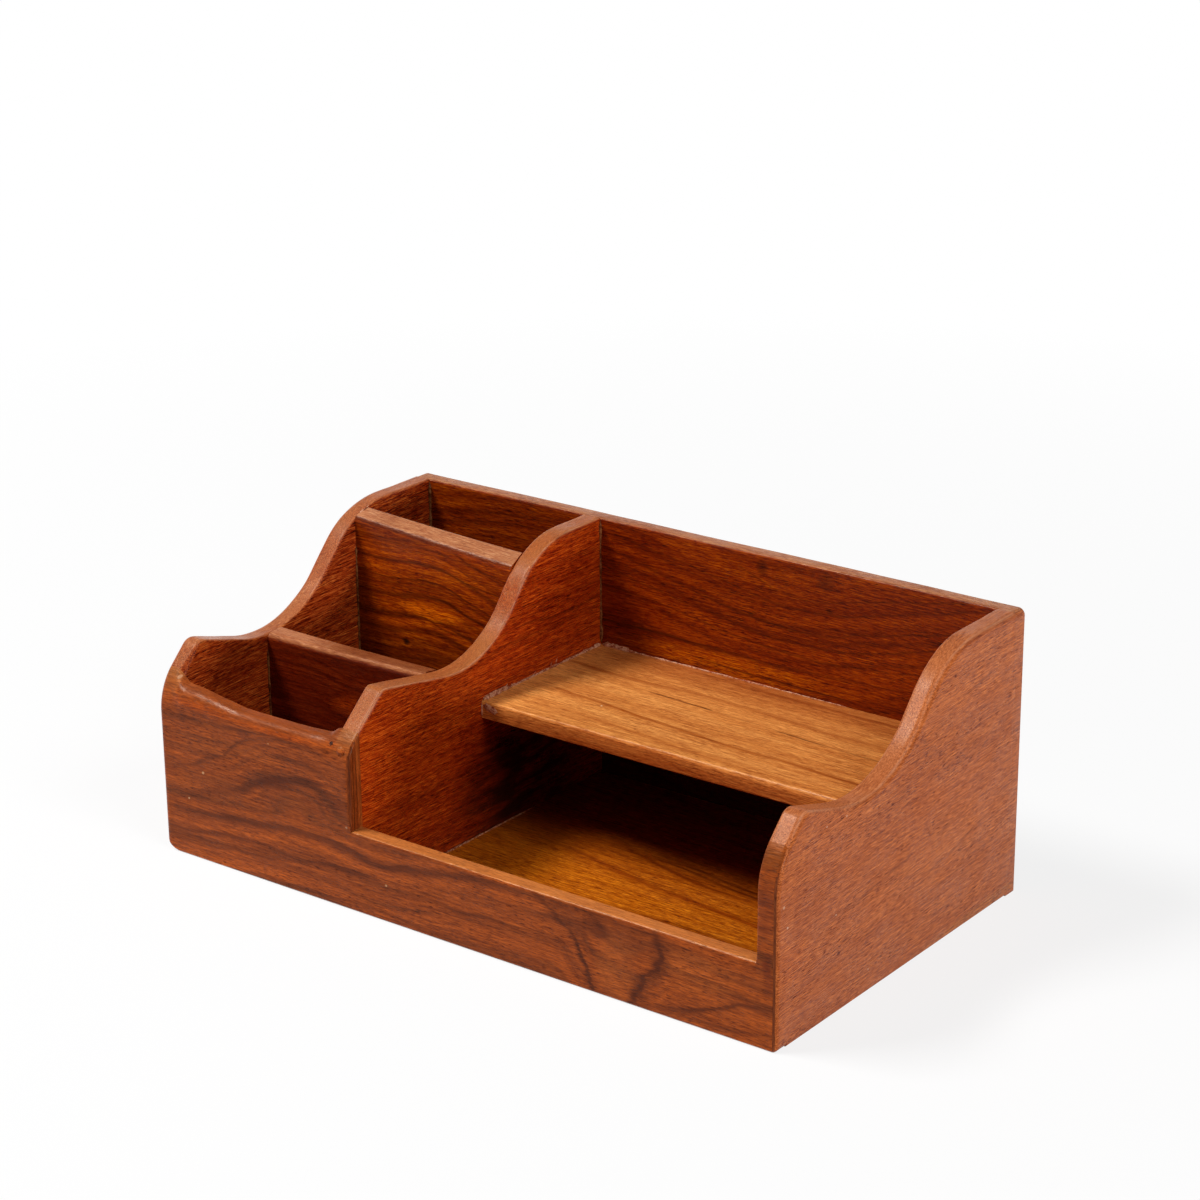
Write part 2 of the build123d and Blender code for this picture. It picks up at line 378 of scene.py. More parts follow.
def back_panel():
    """A slab whose rim is eased, but not on the inside where the walls meet it."""
    r = 3.0
    outline = dense(rounded([(LEFT, 0, 0), (LEFT, HEIGHT, r), (RIGHT, HEIGHT, r), (RIGHT, 0, 0)], 0.4), 1.6)
    normals = inward(outline)
    x, z = outline[:, 0], outline[:, 1]
    walls = (x < LEFT_IN) | (x > RIGHT_IN) | ((x > DIV_L) & (x < DIV_R))
    inside = np.where(walls | (z < HEIGHT - 4), 0.0, 1.0)
    rings, rub_and_sheen_weights = [], []
    steps = arc(6)
    level = -RIM_WAVE + np.clip(wave(x, 21, RIM_WAVE, 80), -RIM_WAVE, RIM_WAVE)

    def add(y, e, setback):
        q = outline + normals * setback
        rings.append([(a, y, b + (up if b > 100 else 0)) for (a, b), up in zip(q, level)])
        rub_and_sheen_weights.append(np.full(len(q), 1 - abs(2 * e - 1)))

    for e in steps:
        add(BACK_IN + e * RIM_IN, e, (drop(e * RIM_IN, RIM_IN) * inside)[:, None])
    for e in steps[::-1]:
        add(BACK - e * RIM_OUT, e, drop(e * RIM_OUT, RIM_OUT))
    return skin("back_board", rings, rub_and_sheen_weights)


back_board = back_panel()


def bar(name, xs, loop):
    """A board along X, whose YZ loop may change with x."""
    return skin(name, [[(x, y, z) for y, z in loop(x)] for x in xs])


def evened(line, n):
    """A loop with n evenly spaced points between its first and last."""
    return np.vstack([line[:1], spread(line[1:-1], n), line[-1:]])


def shelf_loop(x):
    """The shelf's outline, its front top edge rounded more to the right."""
    top_round = np.interp(x, [DIV_R, 40, RIGHT_IN], [1.3, 1.8, 2.8])
    low_round = 0.6
    corners = [(BACK_IN, SHELF_LOW, 0), (SHELF_FRONT, SHELF_LOW, low_round)]
    corners += [(SHELF_FRONT, SHELF_TOP, top_round), (BACK_IN, SHELF_TOP, 0)]
    return evened(rounded(corners, 0.2), 40)


shelf_board = bar("shelf_board", np.linspace(DIV_R, RIGHT_IN, 40), shelf_loop)


def partition(name, span, front_round, sag, lift, seed):
    """A cross wall from ogee to ogee. It sags in the middle, and lift raises its front edge."""
    y0, y1 = span
    ends = [top_of(line, np.array([y0, y1]), 0.0) for line in (SIDE_LINE, DIVIDER_LINE)]

    def loop(x):
        t = (x - LEFT_IN) / (DIV_L - LEFT_IN)
        z = ends[0] * (1 - t) + ends[1] * t
        z = z - sag * 4 * t * (1 - t) - 0.05 + np.array([lift, 0])
        r = front_round + wave(x, seed, 0.25, 40)
        back_round = 1.1
        return evened(rounded([(y0, BASE, 0), (y0, z[0], r), (y1, z[1], back_round), (y1, BASE, 0)], 0.3), 36)

    return bar(name, np.linspace(LEFT_IN, DIV_L, 42), loop)


rear_wall = partition("rear_cross_wall", REAR_PART, 3.4, 0.3, 1.5, 31)
front_wall = partition("front_cross_wall", FRONT_PART, 3.0, 0.3, 0.0, 32)

pieces = {
    "left_side": left_wall,
    "right_side": right_wall,
    "middle_divider": divider_wall,
    "front_panel": front_board,
    "back_panel": back_board,
    "shelf": shelf_board,
    "rear_partition": rear_wall,
    "front_partition": front_wall,
}
for node, piece in pieces.items():
    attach(piece, "root")
    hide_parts(node)


# Materials

def tone(code):
    """A linear colour from its hexadecimal sRGB code."""
    v = [int(code[i:i + 2], 16) / 255 for i in (0, 2, 4)]
    return tuple(c / 12.92 if c <= 0.04045 else ((c + 0.055) / 1.055) ** 2.4 for c in v) + (1.0,)


class Net:
    """Short calls that add nodes to a material or to the world."""

    def __init__(self, owner):
        owner.use_nodes = True
        self.owner = owner
        self.tree = owner.node_tree

    def feed(self, n, ins):
        """Give a node's inputs, by place or name, their values or links. None leaves one as it is."""
        for key, value in ins.items():
            if isinstance(value, bpy.types.NodeSocket):
                self.tree.links.new(value, n.inputs[key])
            elif value is not None:
                n.inputs[key].default_value = value

    def node(self, kind, *ins, out=0, **props):
        """A new node's output, or all its outputs when out is None."""
        n = self.tree.nodes.new("ShaderNode" + kind)
        for key, value in props.items():
            setattr(n, key, value)
        self.feed(n, dict(enumerate(ins)))
        return n.outputs if out is None else n.outputs[out]

    def place(self):
        """The object's own X, Y and Z in millimetres."""
        split = self.node("SeparateXYZ", self.node("TexCoord", out="Object"), out=None)
        return [self.mul(out, MM) for out in split]

    def surface(self, colour, rough, height=None, strength=0.4, depth=0.0004, **plain):
        """Set the material's shader, and its bump if it has one. Names in plain use _ for a space."""
        ins = {"Base Color": colour, "Roughness": rough}
        if height is not None:
            bump = self.tree.nodes.new("ShaderNodeBump")
            self.feed(bump, {"Strength": strength, "Distance": depth, "Height": height})
            ins["Normal"] = bump.outputs[0]
        ins.update({key.replace("_", " "): value for key, value in plain.items()})
        self.feed(self.tree.nodes["Principled BSDF"], ins)
        return self.owner

    def math(self, op, *ins):
        return self.node("Math", *ins, operation=op)

    def add(self, a, b):
        return self.math("ADD", a, b)

    def sub(self, a, b):
        return self.math("SUBTRACT", a, b)

    def mul(self, a, b):
        return self.math("MULTIPLY", a, b)

    def fma(self, a, b, c):
        return self.math("MULTIPLY_ADD", a, b, c)

    def span(self, value, low, high, to_low=0.0, to_high=1.0, smooth=True):
        kind = "SMOOTHSTEP" if smooth else "LINEAR"
        return self.node("MapRange", value, low, high, to_low, to_high, interpolation_type=kind)

    def point(self, g, s, t, scale):
        """A noise position, each coordinate in units of its own grain size."""
        ins = [self.mul(v, 1.0 / k) for v, k in zip((g, s, t), scale)]
        return self.node("CombineXYZ", *ins)

    def noise(self, where, detail=2.0, rough=0.5):
        return self.node("TexNoise", where, None, 1.0, detail, rough)

    def ramp(self, fac, stops):
        """A colour ramp through (place, colour or grey value) stops."""
        n = self.tree.nodes.new("ShaderNodeValToRGB")
        ramp = n.color_ramp
        while len(ramp.elements) < len(stops):
            ramp.elements.new(0.5)
        for e, (place, colour) in zip(ramp.elements, stops):
            e.position = place
            e.color = colour if not isinstance(colour, float) else (colour, colour, colour, 1)
        self.tree.links.new(fac, n.inputs[0])
        return n.outputs[0]

    def curve(self, value, points):
        """A smooth curve through points whose two coordinates lie between 0 and 1."""
        n = self.tree.nodes.new("ShaderNodeFloatCurve")
        c = n.mapping.curves[0]
        while len(c.points) < len(points):
            c.points.new(0.5, 0.5)
        for p, (x, y) in zip(c.points, points):
            p.location = (x, y)
            p.handle_type = "AUTO"
        n.mapping.update()
        self.tree.links.new(value, n.inputs["Value"])
        return n.outputs[0]

    def mix(self, fac, a, b, blend="MIX"):
        n = self.tree.nodes.new("ShaderNodeMix")
        n.data_type = "RGBA"
        n.blend_type = blend
        self.feed(n, {0: fac, 6: a, 7: b})
        return n.outputs[2]

    def blob(self, g, s, g0, s0, rg, rs):
        """A soft spot, 1 in its middle."""
        dg = self.mul(self.sub(g, g0), 1 / rg)
        ds = self.mul(self.sub(s, s0), 1 / rs)
        q = self.fma(ds, ds, self.mul(dg, dg))
        return self.span(q, 0.0, 1.6, 1.0, 0.0)


LINE_ACROSS = [(0.0, 0.0), (0.2, 0.35), (0.38, 1.0), (0.58, 0.9), (0.68, 0.2), (1.0, 0.0)]  # a dark line's strength
DARKEST = 0.06  # the least that fibres, pores and shade leave of a colour


def wood(name, along, across, dark, mid, light, seed, tint=(1, 1, 1), deep=(1.0, 1.3, 1.3), low=0.0, high=120.0,
         flow=None, bumps=(), lines=(), steep=(), patches=(), specks=(), tops=(), shade=(), edge=None,
         ring=5.0, wander=5.0, slope=0.0, tilt=0.4, contrast=1.0, streak=0.5, pores=0.5, width=1.0, feather=3.0,
         calm=0.45, rough=0.31, coat=0.05, ripple=1.6):
    """Varnished wood, painted in millimetres: g runs along the grain, s across it and t into the board.

    along and across are the axes of g and s, and s runs from low to high.
    flow is the line that the growth rings follow, and bumps (g, s, length, height, amount) push them aside.
    lines and steep are dark lines along and across the grain: points, width, colour. Steep points are
    (s, g, strength), the others (g, s, strength). patches are soft spots (g, s, length, height, strength,
    colour), and specks small ones (g, s, radius, colour). tops puts painted light onto upward faces, and
    a darker tone onto a few: colour, strength, the normal's Z at the start and end, a range of g, and how
    soft its ends are. shade paints shade, and light where its gain is above 1, along one of g, s, t: axis,
    start, end, gain, and axis, start, end of a gate. edge is the colour and strength of pale arris lines,
    partly rubbed varnish and partly painted highlight. deep gives the powers by which darker parts lose
    red, green and blue.
    """
    n = Net(bpy.data.materials.new(name))
    paint = lambda code: tuple(a * b for a, b in zip(tone(code), tuple(tint) + (1,)))
    dark, mid, light = paint(dark), paint(mid), paint(light)
    place = n.place()
    g, s, t = [place[k] for k in (along, across, 3 - along - across)]
    gs = n.add(g, seed * 531.7)
    if slope:
        s = n.fma(g, -slope, s)
    layer = lambda size, detail, rough, s=s: n.sub(n.noise(n.point(gs, s, t, size), detail, rough), 0.5)
    jitter = layer((22, 5, 5), 3.0, 0.6)
    fine = layer((6, 1.6, 1.6), 2.0, 0.5)
    wide = layer((110, 45, 45), 2.0, 0.5)
    fibre = layer((24, 0.7 * width, 0.7 * width), 3.0, 0.7)
    stroke = layer((4.5, 0.5 * width, 0.5 * width), 2.0, 0.7, n.fma(fine, 1.2, s))
    s_line = n.fma(fine, 0.8, n.fma(fibre, feather, n.fma(jitter, 1.2 + 0.75 * feather, s)))
    g_line = n.fma(stroke, 5.0, n.fma(jitter, 9.0, g))
    span_g = (-150.0, 150.0) if along == 0 else (-85.0, 85.0)
    unit = lambda v, lo, hi: min(max((v - lo) / (hi - lo), 0.0), 1.0)
    g01 = n.span(g, span_g[0], span_g[1], 0.0, 1.0, smooth=False)
    s01 = n.span(s, low, high, 0.0, 1.0, smooth=False)

    # growth rings, which follow the board's flow and go round its knots
    s_ring = n.fma(fibre, 1.6, n.fma(jitter, 2.0, n.fma(wide, wander * 2, s)))
    s_ring = n.fma(t, tilt, s_ring)
    if flow:
        f = n.curve(g01, [(unit(a, *span_g), unit(b, low, high)) for a, b in flow])
        s_ring = n.fma(f, -(high - low), s_ring)
    for g0, s0, rg, rs, amount in bumps:
        s_ring = n.fma(n.blob(g, s, g0, s0, rg, rs), -amount, s_ring)
    rings = n.noise(n.point(gs, s_ring, t, (260, ring, 400)), 3.0, 0.55)
    colour = n.ramp(rings, [(0.5 - 0.2 / contrast, dark), (0.5, mid), (0.5 + 0.2 / contrast, light)])

    # soft spots of another colour
    for g0, s0, rg, rs, amount, code in patches:
        m = n.blob(n.fma(jitter, 5.0, g), s_line, g0, s0, rg, rs)
        m = n.mul(m, n.span(jitter, -0.2, 0.2, amount * 0.6, amount * 1.2))
        colour = n.mix(m, colour, paint(code))

    # single dark lines of the figure: sharp on one side, fading on the other, broken up by the fibres
    def draw(colour, line, place, lo, hi, p01, p_span):
        points, width, code = line
        f = n.curve(p01, [(unit(a, *p_span), unit(b, lo, hi)) for a, b, _ in points])
        amount = n.curve(p01, [(unit(a, *p_span), c) for a, _, c in points])
        d = n.fma(f, -(hi - lo), place)
        d = n.add(d, -lo) if lo else d
        m = n.mul(n.ramp(n.fma(d, 0.5 / width, 0.5), LINE_ACROSS), amount)
        m = n.mul(m, n.span(stroke, -0.2, 0.16, 0.5, 1.1))
        return n.mix(m, colour, paint(code))

    for line in lines:
        colour = draw(colour, line, s_line, low, high, g01, span_g)
    for line in steep:
        colour = draw(colour, line, g_line, span_g[0], span_g[1], s01, (low, high))

    # fibres and pores; the dark ones are also the redder ones
    value = n.fma(wide, streak * 0.3, n.fma(stroke, streak * 1.9, n.fma(fibre, streak * 1.6, 1.0)))
    pore = n.noise(n.point(gs, n.fma(fine, 0.5, s), t, (3.2, 0.3 * width, 0.3 * width)), 0.0)
    patchy = n.span(n.noise(n.point(gs, s, t, (40, 9, 9)), 1.0), 0.35, 0.62, 0.45, 1.0)
    pore = n.mul(n.span(pore, 0.61, 0.72), patchy)
    value = n.mul(value, n.fma(pore, -pores, 1.0))
    # painted shade along g, s or t, and painted light where a gain is above 1
    for axis, start, end, gain, *gate in shade:
        share = n.span((g, s, t)[axis], start, end)
        if gate:
            share = n.mul(share, n.span((g, s, t)[gate[0]], gate[1], gate[2]))
        value = n.mul(value, n.fma(share, gain - 1, 1.0))
    value = n.math("MAXIMUM", value, DARKEST)
    grain = n.node("CombineColor", *[n.math("POWER", value, power) for power in deep])
    colour = n.mix(1.0, colour, grain, "MULTIPLY")

    # small specks of filler and dust under the varnish; some pale ones are painted glints of open pores
    for g0, s0, r, code in specks:
        m = n.span(n.blob(n.fma(fine, 0.8, g), n.fma(fine, 0.5, s), g0, s0, r, r * 0.8), 0.2, 0.7)
        colour = n.mix(m, colour, tone(code))

    # painted light on upward faces: lighter and paler, with the grain still in them; some entries paint highlight
    # streaks, a few a darker tone
    if tops:
        level = n.fma(fine, 0.3, n.node("SeparateXYZ", n.node("NewGeometry", out="Normal"), out=2))
        paled_top_grain = n.mix(calm, grain, (1, 1, 1, 1))
        for code, amount, n0, n1, g0, g1, *soft in tops:
            soft = soft[0] if soft else 0.7
            up = n.mul(n.span(level, n0, n1), n.span(jitter, -0.25, 0.25, amount * 0.75, amount))
            up = n.mul(up, n.mul(n.span(g, g0 - soft, g0 + soft), n.span(g, g1 - soft, g1 + soft, 1.0, 0.0)))
            colour = n.mix(up, colour, n.mix(1.0, tone(code), paled_top_grain, "MULTIPLY"))

    # pale arris lines: rubbed varnish and painted highlight
    if edge:
        code, amount = edge
        rubbed_and_lit_arris = n.math("POWER", n.node("Attribute", attribute_name="rub_and_sheen_weight", out=2), 3.0)
        rubbed_and_lit_arris = n.mul(rubbed_and_lit_arris, n.span(n.fma(fine, 0.6, jitter), -0.2, 0.25, amount * 0.3, amount))
        colour = n.mix(rubbed_and_lit_arris, colour, tone(code))

    # varnish
    uneven = n.noise(n.point(gs, s, t, (14, 9, 9)))
    shine = n.fma(pore, 0.2, n.span(uneven, 0.3, 0.7, rough - 0.06, rough + 0.1))
    height = n.fma(fibre, 0.3, n.fma(pore, -0.8, n.mul(stroke, 0.5)))
    height = n.fma(uneven, ripple, height)
    return n.surface(colour, shine, height, Coat_Weight=coat, Coat_Roughness=0.2,
                     Specular_IOR_Level=0.18, Specular_Tint=(0.85, 0.6, 0.35, 1))


def put(obj, mat):
    """Give an object one material."""
    obj.data.materials.clear()
    obj.data.materials.append(mat)


# The boards

# How much darker parts lose of red, green and blue, as powers; the steeper INSIDE and WALL give the boards inside
# the tray the deep, red look of their shade
INSIDE, WALL, OPEN, OUTSIDE = (1.0, 1.9, 2.2), (1.0, 2.0, 2.4), (1.0, 1.5, 1.8), (1.0, 1.2, 1.1)

put(front_board, wood(
    "front_wood", 0, 2, "7a4630", "9a5634", "b3673c", 1, tint=(1.11, 0.7, 0.29), deep=OUTSIDE, high=80.0, ring=4.5,
    wander=3.0, contrast=1.2, streak=0.95, pores=0.6,
    # tops: painted light on the lip's and arm's tops; the pen bay's top and the noses get their own tones
    tops=[("d27e3e", 0.85, 0.5, 0.9, -48.5, 141.5), ("87401a", 0.85, 0.15, 0.8, -141, -56.5),
        ("b36c3a", 0.8, 0.1, 0.8, -160, -141), ("a35f2f", 0.8, 0.1, 0.8, -56.5, -48.2),
        ("934c1f", 0.8, 0.1, 0.8, 141, 160)],
    flow=[(-150, 22), (-132, 22), (-110, 24), (-65, 27), (-36, 24), (0, 29), (30, 32), (60, 33), (100, 28),
        (150, 24)],
    bumps=[(-80, 50, 26, 16, 9), (80, 2, 24, 26, -12)],
    specks=[(-142.2, 75.0, 0.9, "dcae8e"), (-143.8, 76.0, 0.8, "5a2414"), (-50.4, 34.9, 0.6, "b88466"),
        (-126.7, 38.9, 0.7, "d8a070"), (-135.5, 25.7, 0.5, "cf9a70"), (-31, 15.6, 0.6, "d29b6c"),
        (-90, 60.4, 0.4, "c98f60")],
    patches=[(80, 12, 9, 14, 0.55, "b5714c"), (115, 22, 18, 8, 0.5, "b26d45"), (-103, 61, 4, 2.5, 0.5, "6a3a3c"),
        (-120, 52, 16, 5, 0.3, "b06a42"), (-100, 67, 45, 2.5, 0.6, "bf6228"), (-20, 20, 40, 3, 0.35, "b2663c"),
        (20, 10, 30, 4, 0.4, "b2663c"), (-88, 45, 10, 3.5, 0.6, "5a2d26"), (56, 27, 9, 5, 0.5, "5e3026"),
        (70, 27, 8, 4, 0.7, "57291f"), (99, 24, 5, 7, 0.6, "57291f"), (90, 6, 5, 7, 0.5, "57291f"),
        (-60, 41, 13, 4, 0.4, "5a2d26"), (-125, 34, 20, 5, 0.3, "b06a42"), (-96, 54, 14, 3, 0.35, "b46c40"),
        (10, 31, 14, 2.5, 0.5, "603124"), (145, 54, 4, 9, 0.5, "7a3a2c"), (146, 30, 2.2, 9, 0.6, "6a2a1c")],
    lines=[
        ([(-150, 21, 0.1), (-134, 21, 0.6), (-110, 23.6, 0.95), (-90, 25.6, 0.8), (-64, 27.6, 0.9), (-50, 26, 0.9),
          (-36, 23.6, 1), (-20, 25.6, 0.85), (0, 28.6, 0.8), (20, 31.4, 0.6), (42, 32.4, 0.3),
          (60, 33, 0)], 3.25, "5a2d22"),
        ([(-150, 25, 0), (-138, 27, 0.35), (-124, 32, 0.5), (-110, 36, 0.6), (-98, 42, 0.9), (-90, 45, 1),
          (-80, 48, 1), (-70, 49, 0.85), (-60, 47, 0.7), (-52, 45, 0.6), (-40, 40, 0.2)], 4.5, "56291f"),
        ([(-150, 36, 0), (-132, 42, 0.6), (-124, 45.6, 0.8), (-116, 49, 0.6), (-110, 54, 0.75), (-106, 57, 0.2),
          (-98, 60, 0)], 2.0, "5d3025"),
        ([(-150, 61, 0.2), (-134, 61, 0.6), (-120, 62.4, 0.5), (-100, 63, 0.9), (-84, 64.4, 0.8), (-70, 63.6, 0.5),
          (-54, 65, 0.6), (-46, 66, 0.3)], 1.62, "5d2e1e"),
        ([(-150, 66, 0.1), (-120, 66.5, 0.4), (-90, 67, 0.3), (-60, 68.5, 0.4)], 1.0, "6b341c"),
        ([(-150, 11, 0.3), (-130, 13, 0.8), (-114, 15, 0.75), (-98, 15.6, 0.5), (-82, 14.8, 0.8), (-64, 16, 0.9),
          (-46, 16.4, 0.8), (-30, 15, 0.4), (-10, 15.6, 0.4), (6, 15, 0.7), (18, 16.4, 0.6), (32, 15.6, 0.3),
          (44, 15, 0)], 2.12, "56291d"),
        ([(-150, 8, 0.1), (-130, 9, 0.5), (-100, 10, 0.45), (-60, 9.5, 0.2), (-20, 9, 0.1),
          (30, 8, 0)], 1.5, "5d2e20"),
        ([(-100, 3, 0), (-70, 3, 0.6), (-38, 4, 0.7), (-10, 3, 0.5), (20, 3, 0.1), (40, 3, 0)], 1.5, "5d2e20"),
        ([(90, 3, 0), (108, 5, 0.7), (116, 7, 0.9), (126, 11, 0.8), (140, 16, 0.8),
          (150, 16.5, 0.4)], 2.25, "532820"),
        ([(100, 2, 0), (112, 3, 0.6), (130, 4, 0.5), (150, 7, 0.2)], 1.75, "5a2c20"),
        ([(-90, 56, 0), (-80, 56, 0.6), (-70, 56.5, 0.7), (-60, 55, 0.4), (-50, 53, 0.2),
          (-46, 52, 0)], 2.75, "5f3024"),
        ([(40, 31, 0), (56, 31, 0.6), (70, 32, 0.5), (90, 31, 0.6), (100, 31, 0.3), (112, 30, 0)], 2.5, "5f3024"),
    ],
    steep=[
        ([(0, 68, 0.9), (6, 67.5, 1), (12, 65.5, 1), (18, 62, 0.9), (24, 56, 0.8), (30, 48, 0.6),
          (34, 44, 0)], 3.4, "4e241c"),
        ([(0, 86, 0.8), (5, 88.5, 1), (11, 92, 1), (16, 96, 1), (22, 100, 1), (27, 99, 0.9), (33, 97, 0.5),
          (36, 97, 0)], 4.0, "52261e"),
        ([(0, 62, 0.3), (8, 60, 0.4), (16, 54, 0.4), (24, 46, 0.2), (30, 40, 0)], 1.0, "633122"),
        ([(0, 76, 0.2), (8, 76, 0.3), (18, 74, 0.2), (26, 70, 0)], 0.9, "6b3826"),
    ]))

side_wood = dict(low=0.0, high=120.0, ring=7.0, wander=4.0, slope=0.03)
put(right_wall, wood(
    # edge and tops paint highlight on the arrises and light on the top band; the pale patch at g -79, s 45 is a
    # painted glint of the front panel's end grain, and the pale specks are partly painted glints
    "right_wood", 1, 2, "b0673f", "c47a4e", "cf8558", 2, tint=(0.93, 0.62, 0.35), width=0.85, edge=("d8a080", 0.5),
    deep=OPEN, contrast=0.45, streak=1.05, pores=0.7, **side_wood,
    tops=[("b3693f", 0.75, 0.4, 0.9, -100, 100)],
    specks=[(-80.3, 58.0, 0.7, "d0987a"), (-77.8, 49.2, 0.55, "d8a88c"), (-46.5, 41.2, 0.45, "d8a88c"),
        (-24, 9.9, 0.4, "d8a88c"), (-53.6, 78.3, 0.4, "d8a88c"), (-40.6, 77.5, 0.4, "d8a88c")],
    patches=[(-76, 34, 9, 7, 0.55, "c2703a"), (-79, 45, 5, 12, 0.35, "d08a6c"), (60, 1, 50, 2.2, 0.6, "c98a4c"),
        (20, 60, 40, 14, 0.25, "cc8056"), (-60, 12, 25, 14, 0.3, "b46a44"), (60, 116, 40, 3, 0.4, "9a5030")],
    lines=[
        ([(-85, 39, 0), (-60, 40, 0.2), (-43, 40.7, 0.55), (-20, 42, 0.6), (0, 44, 0.7),
          (6, 44.5, 0)], 0.8, "7c4030"),
        ([(0, 31, 0), (23, 33, 0.5), (35, 34.5, 0.6), (47, 37, 0.5), (60, 40, 0)], 0.9, "83452f"),
        ([(-10, 74, 0), (-3, 75, 0.4), (15, 78.5, 0.4), (24, 80, 0)], 0.9, "8a4c34"),
        ([(38, 95.5, 0), (45, 96, 0.6), (57, 97.4, 0.5), (64, 98, 0)], 0.7, "7c4030"),
        ([(40, 104, 0), (55, 105, 0.3), (80, 107, 0.2)], 0.8, "8a4c34"),
        ([(10, 22, 0), (30, 24, 0.3), (55, 27, 0.4), (80, 27, 0.2)], 0.9, "8f5036"),
    ]))
# the left side's inside: a darker, redder copy of the side wood standing for its shade, with painted light on its
# top (tops); its outside faces get the right side's wood below
put(left_wall, wood(
    "left_wood_painted_shade", 1, 2, "8a4424", "a8582e", "b96a3a", 3, tint=(0.83, 0.4, 0.18), calm=0.75, width=0.7, contrast=0.75,
    pores=0.9, streak=2.1, deep=WALL, **side_wood,
    tops=[("ba7045", 0.8, 0.4, 0.9, -100, 100)]))
put(divider_wall, wood(
    "divider_wood", 1, 2, "9c4a1e", "b55a26", "c46a30", 4, tint=(0.87, 0.4, 0.13), calm=0.8, width=0.6,
    edge=("dcaa8c", 0.6), deep=WALL, ring=6.0, wander=5.0, slope=0.0, contrast=0.8, streak=1.75, pores=0.8,
    tops=[("b16b3a", 0.8, 0.4, 0.9, -100, 100)],
    # painted shade: darker below the shelf's level towards the shelf (shade) and almost black under it (first
    # patch); edge and tops paint arris highlights and a lit top; the tint is set for the divider's look in shade
    shade=[(0, -40, 0, 0.72, 1, 58, 50)],
    specks=[(-10.8, 85.6, 1.6, "6f5a4a")],
    patches=[(22, 22, 40, 34, 0.95, "3c1404"), (60, 90, 45, 20, 0.3, "8a3c14")],
    lines=[
        ([(0, 83, 0), (22, 86.5, 0.5), (50, 84.5, 0.7), (77, 85, 0.7)], 1.0, "4a1c0e"),
        ([(-20, 77, 0), (0, 79.5, 0.4), (20, 81, 0.5), (50, 80, 0.3), (77, 79, 0.2)], 0.9, "5a2410"),
        ([(20, 92, 0), (40, 92.5, 0.4), (77, 91, 0.4)], 0.8, "5a2410"),
        ([(-45, 56, 0), (-30, 57, 0.4), (-10, 60, 0.4), (-4, 61, 0)], 0.8, "64290f"),
    ]))

put(shelf_board, wood(
    "shelf_wood", 0, 1, "c07a3c", "d18e4c", "dc9c58", 5, tint=(1.06, 0.87, 0.7), width=0.8, feather=0.5, deep=OPEN,
    low=-10.0, high=80.0, ring=5.0, wander=1.5, contrast=0.8, streak=0.85, pores=0.35, rough=0.34,
    flow=[(-150, 28), (-29, 25), (9, 21), (59, 16), (118, 13), (150, 12)],
    # painted shade towards the back and on the lower front face, and painted light at the left end, where the
    # divider's shadow falls
    shade=[(1, 46, 75, 0.66), (2, 61.0, 56.0, 0.72), (0, -24, -46, 1.3)],
    specks=[(-5.5, 20.5, 0.5, "e8c59a"), (20, 8.3, 0.6, "a05a28")],
    patches=[(50, -5.2, 140, 2.4, 1.0, "c45e18")],
    lines=[
        ([(-49, 54, 0.8), (-42, 53.7, 0.9), (-31, 52.3, 0.95), (-21, 52, 0.8), (-1, 52.2, 0.7), (15, 53.6, 0.35),
          (38, 53.4, 0.5), (54, 52.3, 0.6), (68, 51, 0.45), (84, 49.8, 0.4), (109, 49.8, 0.45),
          (141, 50, 0.5)], 3.46, "8f4412"),
        ([(0, 44.4, 0), (7.7, 44, 0.9), (20, 43.2, 0.9), (32, 42.4, 1), (34, 42.2, 0.15), (51, 40.7, 0.3),
          (62, 40, 0.1), (68, 39.5, 0.8), (78, 38.7, 0.9), (94, 37.8, 0.4), (100, 37.4, 0.5), (114, 36.7, 0.6),
          (141, 35.8, 0.3)], 0.96, "4c1a05"),
        ([(-49, 26, 0.05), (-34, 25.5, 0.3), (-28, 25.3, 0.95), (-16, 24, 0.8), (-2, 22.7, 0.9), (9, 21, 1),
          (26, 19.3, 0.75), (43, 17.7, 0.85), (59, 16, 0.85), (84, 15.7, 0.8), (98, 14.7, 0.9), (118, 13.3, 0.95),
          (141, 12, 0.8)], 2.3, "96490f"),
        ([(-20, 72, 0.1), (11, 73, 0.4), (30, 71.5, 0.5), (51, 71, 0.7), (75, 70.6, 0.6), (101, 70.3, 0.8),
          (120, 70, 0.7)], 2.3, "94460f"),
        ([(-49, 46, 0.3), (-32, 46, 0.5), (-10, 45.2, 0.2), (10, 44.6, 0)], 1.84, "a2591f"),
        ([(-49, 8, 0.1), (0, 6.5, 0.35), (50, 5, 0.4), (120, 3.5, 0.4)], 1.61, "b06a2c"),
        ([(-49, 4, 0.1), (0, 2.6, 0.3), (50, 1.5, 0.35), (120, 0.5, 0.3)], 1.38, "b06a2c"),
        ([(10, 36, 0), (40, 34, 0.3), (70, 33, 0.2), (110, 31.5, 0.4), (141, 30, 0.2)], 1.84, "b0682a"),
        ([(-49, 61, 0.4), (-20, 62, 0.2), (20, 62, 0.15), (60, 61, 0.2), (120, 60, 0.2)], 2.3, "b0682a"),
        ([(70, 46, 0), (90, 45.5, 0.3), (120, 45, 0.3)], 1.61, "a86025"),
    ]))

